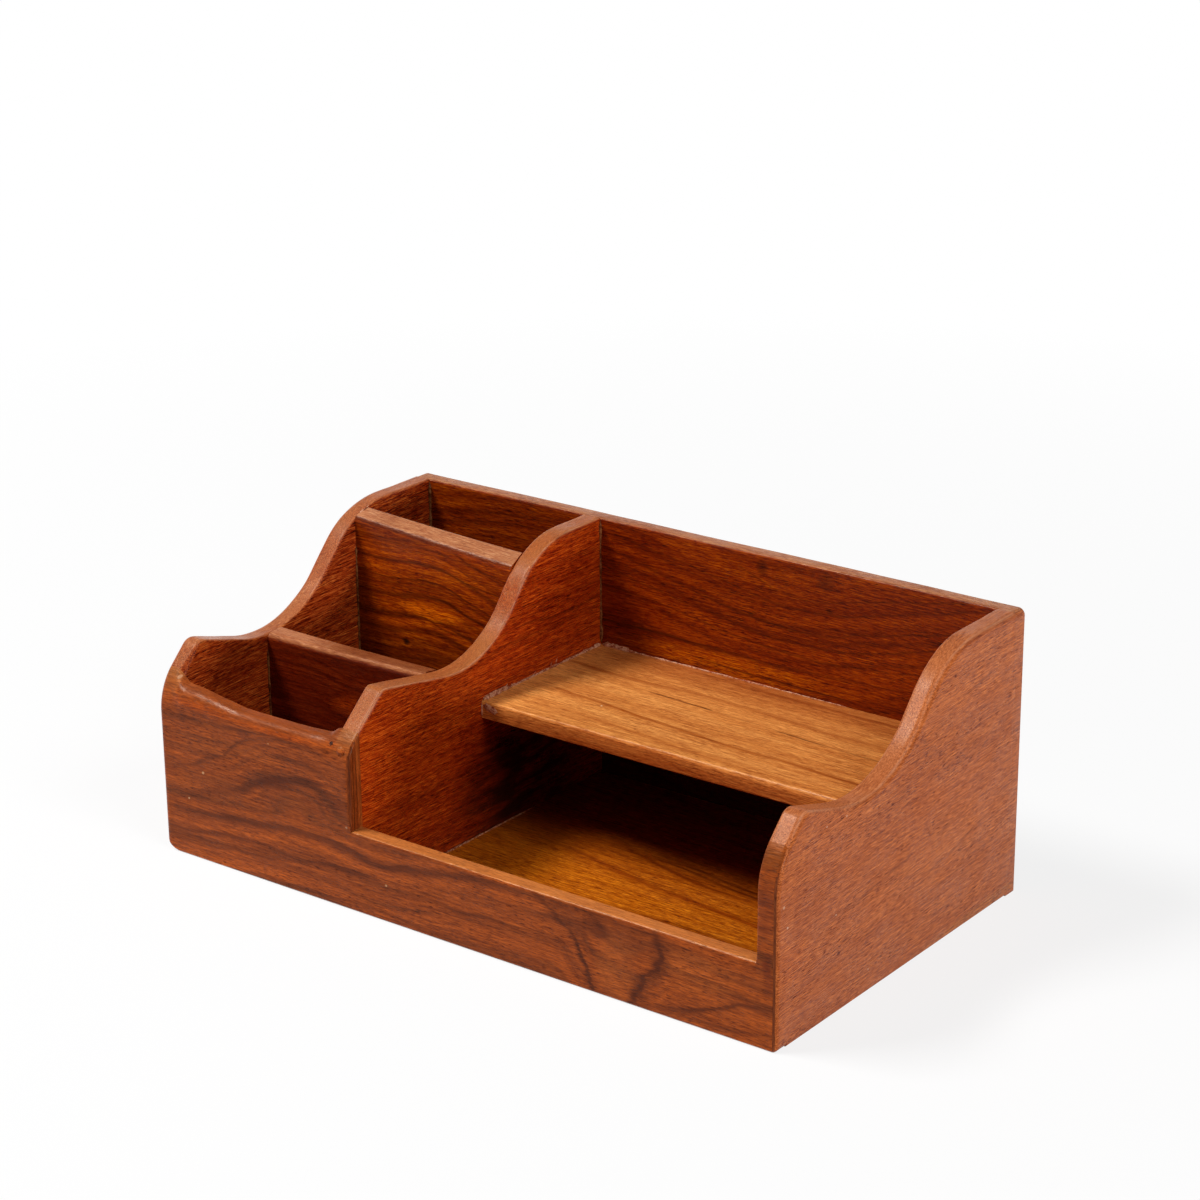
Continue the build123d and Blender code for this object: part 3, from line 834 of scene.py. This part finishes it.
put(nodes["base_panel"], wood(
    "base_wood", 0, 1, "b8731c", "c98428", "d29136", 6, tint=(0.9, 0.55, 0.21), width=0.9, feather=0.6, deep=OPEN,
    low=-80.0, high=80.0, ring=5.0, wander=2.0, contrast=0.8, streak=1.3, pores=0.5, rough=0.34,
    flow=[(-150, 20), (-7, 5), (23, -1.3), (58, -5.8), (89, -9.7), (150, -14)],
    # painted shade: the floor darker under the shelf and further back
    shade=[(1, -16, 20, 0.55), (1, 20, 60, 0.7)],
    patches=[(70, -28, 40, 3, 0.5, "8a4a14")],
    lines=[
        ([(-40, 8, 0), (-7, 5, 0.5), (9, 1.7, 0.8), (22.7, -1.3, 0.8), (41, -4.2, 0.7), (57.7, -5.8, 0.85),
          (89, -9.7, 0.9), (141, -14, 0.8)], 3.84, "8a3c08"),
        ([(0, 20, 0), (17.7, 16.7, 0.6), (34, 12, 0.8), (54, 8, 0.8), (67.7, 7, 0.5), (100, 4, 0.4),
          (141, 1, 0.4)], 2.82, "7c3408"),
        ([(20, 19, 0), (36, 17, 0.6), (56, 13, 0.8), (76, 10.5, 0.9), (100, 7, 0.7), (141, 3, 0.6)], 2.3, "6c2a06"),
        ([(20, 22, 0.2), (40, 19.5, 0.7), (60, 16, 0.8), (80, 13.5, 0.9), (141, 7, 0.7)], 2.56, "6c2a06"),
        ([(-20, -28, 0), (20, -29, 0.3), (60, -27, 0.4), (141, -28, 0.3)], 2.56, "8a4a14"),
    ]))

put(back_board, wood(
    "back_wood_painted_shade", 0, 2, "5e2410", "7c3614", "90481c", 7, tint=(1.18, 0.66, 0.06), feather=1.6, width=0.65,
    deep=INSIDE, ring=3.6, wander=3.0, contrast=0.95, streak=1.45, pores=0.8,
    tops=[("c07c50", 0.8, 0.6, 0.95, -160, 160)],
    flow=[(-150, 100), (-40, 107), (0, 98), (35, 92), (68, 94), (100, 101), (134, 109), (150, 112)],
    # painted shade: the inside face nearly black under the shelf, and darker towards the divider's corner; the
    # whole inside copy is darker and redder than the outside's wood, for its shade, with painted light on the rim
    # (tops)
    shade=[(1, 64, 50, 0.2, 2, 80, 78), (0, 0, -30, 0.82, 0, -57, -49)],
    patches=[(20, 67, 52, 5.0, 0.95, "a8621c"), (34, 113, 3, 4, 0.5, "3a160c"), (64, 113, 4, 4, 0.5, "3a160c"),
        (66, 101, 1.6, 1.2, 0.6, "3a160c"), (28, 92, 1.4, 1.0, 0.6, "3a160c"), (45, 108, 12, 7, 0.35, "96512c"),
        (105, 80, 25, 8, 0.35, "9a4c18")],
    lines=[
        ([(-46, 74, 0.9), (-20, 74, 0.9), (0, 73.5, 0.8), (20, 73, 0.6), (45, 73, 0.5), (80, 74, 0.3),
          (120, 77, 0.2)], 1.8, "3a1408"),
        ([(0, 67.5, 0.2), (18, 66.3, 0.9), (40, 65.6, 0.95), (60, 65.2, 0.9), (76, 65, 0.6),
          (90, 65, 0)], 0.9, "4a1c0a"),
        ([(-46, 106, 0.4), (-30, 103, 0.5), (0, 96, 0.5), (30, 91, 0.6), (60, 90, 0.5), (90, 96, 0.6),
          (120, 103, 0.5)], 1.0, "3f180c"),
        ([(-46, 98, 0.5), (-20, 93, 0.6), (10, 88, 0.5), (40, 84, 0.5), (70, 85, 0.5),
          (100, 91, 0.5)], 0.9, "3f180c"),
        ([(-46, 90, 0.4), (-10, 86, 0.5), (20, 81, 0.6), (50, 79, 0.6), (80, 80, 0.4),
          (110, 84, 0.3)], 0.9, "3f180c"),
        ([(-40, 113, 0.3), (-10, 108, 0.5), (20, 103, 0.5), (45, 99, 0.5), (70, 100, 0.6), (100, 107, 0.5),
          (125, 113, 0.4)], 0.9, "3a160c"),
        ([(20, 112, 0), (30, 109, 0.6), (45, 104, 0.4), (60, 104, 0.4), (80, 108, 0.6),
          (110, 114, 0.5)], 0.8, "3a160c"),
    ]))

put(rear_wall, wood(
    "rear_wood", 0, 2, "4e1e0a", "763410", "8e4616", 8, tint=(2.0, 1.25, 0.14), feather=1.4, width=0.7, deep=INSIDE,
    ring=3.4, wander=2.5, contrast=1.2, streak=1.2, pores=0.7,
    # tops: a dark line low on the front rounding, and painted light on the top, lighter at the left end
    tops=[("5a1a06", 0.9, 0.2, 0.5, -160, 160), ("d68e62", 0.85, 0.66, 0.88, -180, -128, 12),
        ("cc8458", 0.8, 0.66, 0.88, -128, 180, 12)],
    flow=[(-150, 90), (-138, 91), (-123, 91), (-100, 93.5), (-92, 92.5), (-77, 87.5), (-57, 82), (150, 60)],
    patches=[(-100, 80, 17, 3.6, 0.8, "b0601c"), (-90, 97, 14, 3, 0.4, "96501c"), (-146, 80, 12, 40, 0.6, "3c160a"),
        (-105, 58, 60, 10, 0.6, "3c160a"), (-114.6, 64, 2.4, 1.5, 1.0, "140402"),
        (-110, 67.5, 8, 1.5, 0.4, "8a4818"), (-100, 112, 60, 4, 0.4, "552410")],
    lines=[
        ([(-150, 92, 0.7), (-138, 92, 0.8), (-123, 91.2, 0.7), (-111, 92.5, 0.6), (-101, 93.4, 0.8),
          (-92, 92.5, 0.8), (-84.5, 90, 0.8), (-77, 87.7, 0.7), (-60, 83, 0.6)], 1.1, "36120a"),
        ([(-150, 83, 0.3), (-123, 83.4, 0.6), (-111, 84.5, 0.7), (-101, 86, 0.8), (-92, 86, 0.9), (-86, 84, 0.9),
          (-77, 81.5, 0.8), (-60, 77, 0.6)], 1.4, "3a140a"),
        ([(-150, 76, 0.7), (-130, 75, 0.8), (-117, 76, 0.7), (-104.5, 77, 0.8), (-98, 75, 0.8), (-92, 73.4, 0.8),
          (-79.5, 72.5, 0.7), (-60, 70, 0.5)], 1.1, "3a140a"),
        ([(-125, 100, 0), (-104, 100, 0.6), (-92, 99.6, 0.7), (-79.5, 96.5, 0.8), (-64.5, 94.6, 0.95),
          (-57, 93, 0.8)], 1.0, "32100a"),
        ([(-150, 106, 0.5), (-120, 107, 0.5), (-100, 107.5, 0.6), (-80, 105, 0.6), (-57, 101, 0.5)], 1.0, "3a140a"),
        ([(-150, 87.5, 0.4), (-115, 88.4, 0.5), (-98, 90, 0.5), (-80, 86, 0.4), (-60, 81, 0.3)], 0.7, "3a140a"),
        ([(-110, 71, 0), (-100, 71.5, 0.5), (-85, 69, 0.5), (-70, 67, 0.4)], 0.9, "3a140a"),
    ]))
put(front_wall, wood(
    "partition_wood", 0, 2, "4a1c0e", "6c2c12", "82401a", 9, tint=(0.95, 0.42, 0.2), width=0.7, deep=INSIDE,
    ring=3.4, wander=4.0, contrast=1.1, streak=1.2, pores=0.6,
    # tops: painted light on the front rounding and on the top's left part; the rest of the top darker
    tops=[("b4683c", 0.9, 0.3, 0.7, -160, 160), ("c27a50", 0.8, 0.7, 0.9, -180, -112, 14),
        ("7c3c1c", 0.75, 0.84, 0.93, -112, 180, 14)],
    flow=[(-150, 60), (-120, 62), (-90, 58), (-57, 62), (150, 60)],
    specks=[(-114.5, 79.8, 1.3, "c29a80"), (-110.4, 79.2, 0.9, "a87a60")],
    patches=[(-92, 56, 14, 5, 0.8, "b05c1c"), (-84, 50, 12, 3, 0.5, "9a4c18"), (-112, 48, 20, 8, 0.5, "5a2410")]))


cut_grain = wood(
    "cut_wood", 2, 1, "6a3a20", "93542c", "aa6a38", 10, tint=(0.85, 0.5, 0.3), low=-90.0, high=-70.0, ring=1.6,
    wander=0.5, tilt=1.0, contrast=1.3, streak=0.9, pores=0.5, deep=OUTSIDE, feather=0.3,
    lines=[
        ([(-85, -81.6, 0.9), (85, -81.6, 0.9)], 0.7, "3c1a10"),
        ([(-85, -79.6, 0.8), (85, -79.9, 0.8)], 0.5, "4a2214"),
        ([(-85, -83.2, 0.4), (85, -83.0, 0.6)], 0.5, "54281a"),
        ([(-85, -78.2, 0.5), (85, -78.0, 0.7)], 0.4, "4a2214"),
    ])
seam_grain = wood(
    "seam_wood", 2, 0, "6a3420", "82462a", "a05c38", 11, tint=(1.0, 0.8, 0.6), contrast=1.2, streak=0.8)


outside_grain = wood(
    "outside_wood", 0, 2, "7a4630", "9a5634", "b3673c", 12, tint=(1.1, 0.7, 0.32), ring=6.0, wander=6.0,
    contrast=1.2, streak=0.95, pores=0.6, deep=OUTSIDE, rough=0.5, coat=0.0, ripple=0.2,
    bumps=[(60, 58, 40, 22, 16)],
    lines=[
        ([(-150, 88, 0.4), (-60, 92, 0.8), (30, 97, 0.7), (90, 95, 0.8), (150, 88, 0.4)], 3.0, "5a2d22"),
        ([(-150, 34, 0.6), (-70, 38, 0.8), (10, 30, 0.9), (80, 26, 0.7), (150, 30, 0.3)], 3.4, "56291f"),
        ([(-150, 16, 0.3), (-40, 18, 0.7), (60, 12, 0.6), (150, 14, 0.5)], 2.2, "5d2e20"),
    ])


def dress(obj, mat, test):
    """Give the faces that pass a test another material."""
    me = obj.data
    me.materials.append(mat)
    for face in me.polygons:
        if test(face.center * MM, face.normal):
            face.material_index = len(me.materials) - 1


right_grain = right_wall.data.materials[0]
dress(front_board, cut_grain, lambda c, n: DIV_L < c.x < DIV_R + 0.5 and c.z > LIP and n.x > 0.35 and n.z < 0.6)
dress(front_board, seam_grain, lambda c, n: c.x > RIGHT_IN and 0.3 < n.x < 0.6 and n.z < 0.3)
dress(front_board, right_grain, lambda c, n: abs(c.x) > 148 and abs(n.x) > 0.6)
dress(back_board, right_grain, lambda c, n: abs(c.x) > 146 and abs(n.x) > 0.6)
# the back panel's and the left side's outer faces take lit copies of their wood; their inside materials are darker,
# as painted shade
dress(back_board, outside_grain, lambda c, n: n.y > 0.5)
dress(left_wall, right_grain, lambda c, n: n.x < -0.4)


def steel():
    """Dull steel of the pins, with a fine drawn grain."""
    n = Net(bpy.data.materials.new("pin_steel"))
    x, y, z = n.place()
    grain = n.noise(n.point(y, x, z, (6, 0.15, 0.15)))
    colour = n.ramp(grain, [(0.3, (0.22, 0.21, 0.2, 1)), (0.7, (0.42, 0.41, 0.4, 1))])
    return n.surface(colour, n.span(grain, 0.2, 0.8, 0.3, 0.5), Metallic=1.0)


pin_steel = steel()
for pins in ("front_panel_pins", "back_panel_pins"):
    put(nodes[pins], pin_steel)


# Glue in the joints, and filler over the pins

def blotched(name, first, second, rough, grain):
    """Dried glue or filler: two colours in blotches, and an uneven skin."""
    n = Net(bpy.data.materials.new(name))
    scaled = lambda where, scale: n.node("VectorMath", where, (scale,) * 3, operation="MULTIPLY")
    where = scaled(n.node("TexCoord", out="Object"), MM)
    big = n.noise(scaled(where, 1 / grain), 3.0, 0.6)
    small = n.noise(scaled(where, 4 / grain), 2.0, 0.6)
    colour = n.ramp(n.fma(n.sub(small, 0.5), 0.5, big), [(0.38, tone(first)), (0.62, tone(second))])
    shine = n.span(small, 0.2, 0.8, rough - 0.12, rough + 0.15)
    return n.surface(colour, shine, n.fma(small, 0.6, big), 0.5, 0.0003, Specular_IOR_Level=0.1)


pale_glue = blotched("pale_glue", "96482a", "d49a78", 0.42, 2.2)
dark_glue = blotched("dark_glue", "52240f", "86522c", 0.4, 4.0)
cream_filler = blotched("cream_filler", "b98058", "dcb088", 0.6, 0.8)
dark_filler = blotched("dark_filler", "28100a", "6b4030", 0.6, 1.0)


def bead(name, corner, path, across, up, radii, seed, mat, rough=0.35, step=0.7):
    """An uneven thread of dried glue, half sunk in both boards. Its path counts from a corner of the joint."""
    line = dense(np.array(path, float) + corner, step)
    n = len(line)
    rng = np.random.default_rng(seed)
    across, up = np.array(across, float), np.array(up, float)
    t = np.linspace(0, 1, n)
    thinnest = 0.12
    ends = np.clip(np.minimum(t, 1 - t) * n / 3, thinnest, 1)
    girth = np.interp(t, np.linspace(0, 1, len(radii)), radii) * ends
    near = 5
    rough_along = np.convolve(rng.uniform(-1, 1, n + near - 1), np.ones(near) / near, "valid") * 2.2
    girth = girth * np.clip(1 + rough * rough_along, 0.35, 2.0)
    sides = 8
    turns = np.linspace(0, 2 * pi, sides + 1)[:-1]
    rings = []
    for p, r in zip(line, girth):
        uneven = 1 + rng.uniform(-0.5, 0.5, sides) * rough
        rings.append([tuple(p + r * k * (cos(a) * across + sin(a) * up)) for a, k in zip(turns, uneven)])
    obj = skin(name, rings, angle=80)
    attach(obj, "root")
    put(obj, mat)


X, Y, Z = (1, 0, 0), (0, 1, 0), (0, 0, 1)
SMEAR = (0, 0, 4.0)  # a smear is four times as high as it is deep
bead("glue_shelf_divider", (DIV_R, 0, SHELF_TOP), [(0.15, -2.6, 0.1), (0.15, 20, 0.1), (0.15, 76.4, 0.1)],
     X, Z, [1.1, 0.9, 0.55, 0.5, 0.6, 0.5, 0.5, 0.6, 1.1], 41, pale_glue, 0.5)
bead("glue_shelf_ridge", (DIV_R, 0, SHELF_TOP), [(0.05, -2.4, 0.8), (0.1, 6, 1.4), (0, 14, 0.7), (0, 24, 0.5)],
     X, Z, [0.35, 0.4, 0.3, 0.2], 42, pale_glue, 0.7)
bead("glue_shelf_drip", (DIV_R, SHELF_FRONT, 0), [(0.1, -0.05, 62.0), (0.15, -0.1, 59), (0.05, 0, 55.2)],
     X, Y, [0.3, 0.5, 0.35, 0.55], 43, pale_glue, 0.3)
bead("glue_shelf_smear", (DIV_R, SHELF_FRONT, 0), [(0.4, 0, 60.4), (4.5, 0, 59.6), (8.5, 0.05, 59.0)],
     Y, SMEAR, [0.3, 0.42, 0.3, 0.2], 44, pale_glue, 0.4)
for k, (y, rise) in enumerate([(42, 2.6), (45.5, 3.4), (31, 1.6), (12.5, 2.2)]):
    bead(f"glue_wisp_{k + 1}", (DIV_R, y, SHELF_TOP), [(0, 0, 0.3), (0.05, 0.4, 0.3 + rise * 0.6), (0, 1.2, rise)],
         X, Y, [0.28, 0.18, 0.1], 50 + k, pale_glue, 0.4, 0.4)
bead("glue_shelf_back", (0, BACK_IN, SHELF_TOP), [(DIV_R + 0.5, -0.15, 0.1), (75, -0.1, 0.05)],
     Y, Z, [1.2, 0.5, 0.35, 0.45, 0.3, 0.25], 45, pale_glue, 0.5, 1.0)
bead("glue_divider_back", (DIV_R, BACK_IN, 0), [(0.1, -0.1, 117.4), (0.1, -0.1, SHELF_TOP + 0.6)],
     X, Y, [0.7, 0.5, 0.55, 0.45, 0.6, 0.9], 46, dark_glue)
bead("glue_left_back", (LEFT_IN, BACK_IN, 0), [(0.1, -0.1, 117.2), (0.1, -0.1, 60)],
     X, Y, [0.8, 0.6, 0.6, 0.5], 47, dark_glue)
bead("glue_rear_left", (LEFT_IN, REAR_PART[0], 0), [(0.05, 0, 101.5), (0.1, -0.1, 90), (0.1, -0.1, 30)],
     X, Y, [0.45, 0.6, 0.5, 0.6, 0.5], 48, dark_glue)
bead("glue_front_left", (LEFT_IN, FRONT_PART[0], 0), [(0.1, -0.1, 72), (0.1, -0.1, 25)],
     X, Y, [0.5, 0.6, 0.5], 49, dark_glue)
bead("glue_floor_divider", (DIV_R, 0, BASE), [(0.1, FRONT_IN + 1, 0.1), (0.1, -20, 0.1), (0.1, 30, 0.1)],
     X, Z, [0.3, 0.45, 0.35, 0.3, 0.2], 55, pale_glue, 0.5, 1.0)
rear_top = top_of(SIDE_LINE, np.linspace(*REAR_PART, 5), 0.0)
rear_ys = np.linspace(REAR_PART[0] + 2.4, REAR_PART[1], 5)
bead("glue_rear_top", (LEFT_IN, 0, 0.25),
     [(0.2, y, z + 1.3 * (1 - k / 4)) for k, (y, z) in enumerate(zip(rear_ys, rear_top))],
     X, Z, [0.4, 0.5, 0.35, 0.3], 56, pale_glue, 0.5)


def plug(name, x, y, z, r, seed, mat, height=0.11, sunk=0.25, tilt=0.0):
    """A low, uneven dome of filler over a pin in the front face."""
    rng = np.random.default_rng(seed)
    rings = []
    lean, rise = cos(tilt), sin(tilt)
    sides = 12
    for share, out in ((1.0, -sunk), (1.0, 0.0), (0.8, 0.64 * height), (0.45, 0.9 * height), (0.08, height)):
        uneven = 1 + rng.uniform(-0.25, 0.25, sides) * share
        ring = []
        for a, k in zip(np.linspace(0, 2 * pi, sides + 1)[:-1], uneven):
            up = r * share * k * sin(a)
            ring.append((x + r * share * k * cos(a), y - out * lean + up * rise, z + out * rise + up * lean))
        rings.append(ring)
    obj = skin(name, rings, angle=80)
    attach(obj, "root")
    put(obj, mat)


DIV_MID = (DIV_L + DIV_R) / 2
high_y = float(np.interp(66, *ogee_front(DIVIDER_LINE).T[::-1]))
plug("filler_divider_low", DIV_MID, FRONT + 0.12, 15.0, 0.75, 61, cream_filler)
front_grain = front_board.data.materials[0]
plug("filler_divider_high", DIV_MID, high_y, 66.1, 2.0, 62, front_grain, 0.9, 0.8, radians(24))
plug("filler_bay_high", -58.35, -82.22, 67.6, 0.9, 63, dark_filler, 0.14, 0.6, radians(32))
plug("filler_arm", 144.6, FRONT + 0.12, 47.5, 1.3, 64, cream_filler)


# Floor and light

def lamp(name, way, distance, centre, size, size_y, energy):
    """A soft box some way off a centre over the origin, which it faces."""
    data = bpy.data.lights.new(name, "AREA")
    data.shape = "RECTANGLE"
    data.size = size
    data.size_y = size_y
    data.energy = energy
    obj = bpy.data.objects.new(name, data)
    target = Vector((0, 0, centre))
    place = Vector(way).normalized() * distance + target
    obj.matrix_world = (target - place).to_track_quat("-Z", "Y").to_matrix().to_4x4()
    obj.matrix_world.translation = place
    bpy.context.scene.collection.objects.link(obj)


lamp("key", (-0.56, -0.40, 1.0), 2.2, 0.08, 0.9, 0.42, 46)
lamp("soft", (0.8, -0.2, 0.75), 2.0, 0.05, 0.9, 0.7, 13)
fill = bpy.data.lights.new("fill", "SUN")
fill.energy = 1.1
fill.angle = radians(8)
fill_lamp = bpy.data.objects.new("fill", fill)
fill_lamp.rotation_euler = Vector((-1, 0.12, -0.04)).to_track_quat("-Z", "Y").to_euler()
bpy.context.scene.collection.objects.link(fill_lamp)

floor_mesh = bpy.data.meshes.new("floor")
bm = bmesh.new()
bmesh.ops.create_grid(bm, x_segments=8, y_segments=8, size=8)
bm.to_mesh(floor_mesh)
bm.free()
floor = bpy.data.objects.new("floor", floor_mesh)
bpy.context.scene.collection.objects.link(floor)


def rays(n):
    """Whether a ray comes from the camera, off a glossy surface or through a clear one."""
    out = n.node("LightPath", out=None)
    return [out[f"Is {kind} Ray"] for kind in ("Camera", "Glossy", "Transmission")]


def pale_floor():
    """A matt floor that catches the shadow and turns to plain white away from the object."""
    n = Net(bpy.data.materials.new("floor"))
    n.tree.nodes.remove(n.tree.nodes["Principled BSDF"])
    camera, glossy, clear = rays(n)
    matt = n.node("BsdfDiffuse", n.mix(camera, (0.5, 0.5, 0.5, 1), (0.92, 0.92, 0.92, 1)))
    distance = n.node("VectorMath", n.node("NewGeometry"), out="Value", operation="LENGTH")
    white = n.span(distance, 0.25, 0.9, 0.82, 1.0, smooth=False)
    seen = n.math("MAXIMUM", camera, n.math("MAXIMUM", clear, glossy))
    both = n.node("MixShader", n.mul(white, seen), matt, n.node("Emission"))
    n.feed(n.tree.nodes["Material Output"], {"Surface": both})
    return n.owner


def pale_world():
    """White where it is seen, darker upward in reflections, and faint as a light."""
    n = Net(bpy.data.worlds.new("world"))
    camera, glossy, clear = rays(n)
    up = n.node("SeparateXYZ", n.node("TexCoord", out="Generated"), out="Z")
    band = n.span(up, 0.2, 0.5, 1.0, 0.08, smooth=False)
    strength = n.math("MAXIMUM", n.math("MAXIMUM", camera, clear), n.mul(band, glossy))
    strength = n.math("MAXIMUM", strength, n.mul(band, 0.12))
    n.feed(n.tree.nodes["Background"], {"Color": (1, 1, 1, 1), "Strength": strength})
    return n.owner


put(floor, pale_floor())
bpy.context.scene.world = pale_world()
bpy.context.scene.view_settings.view_transform = "Standard"
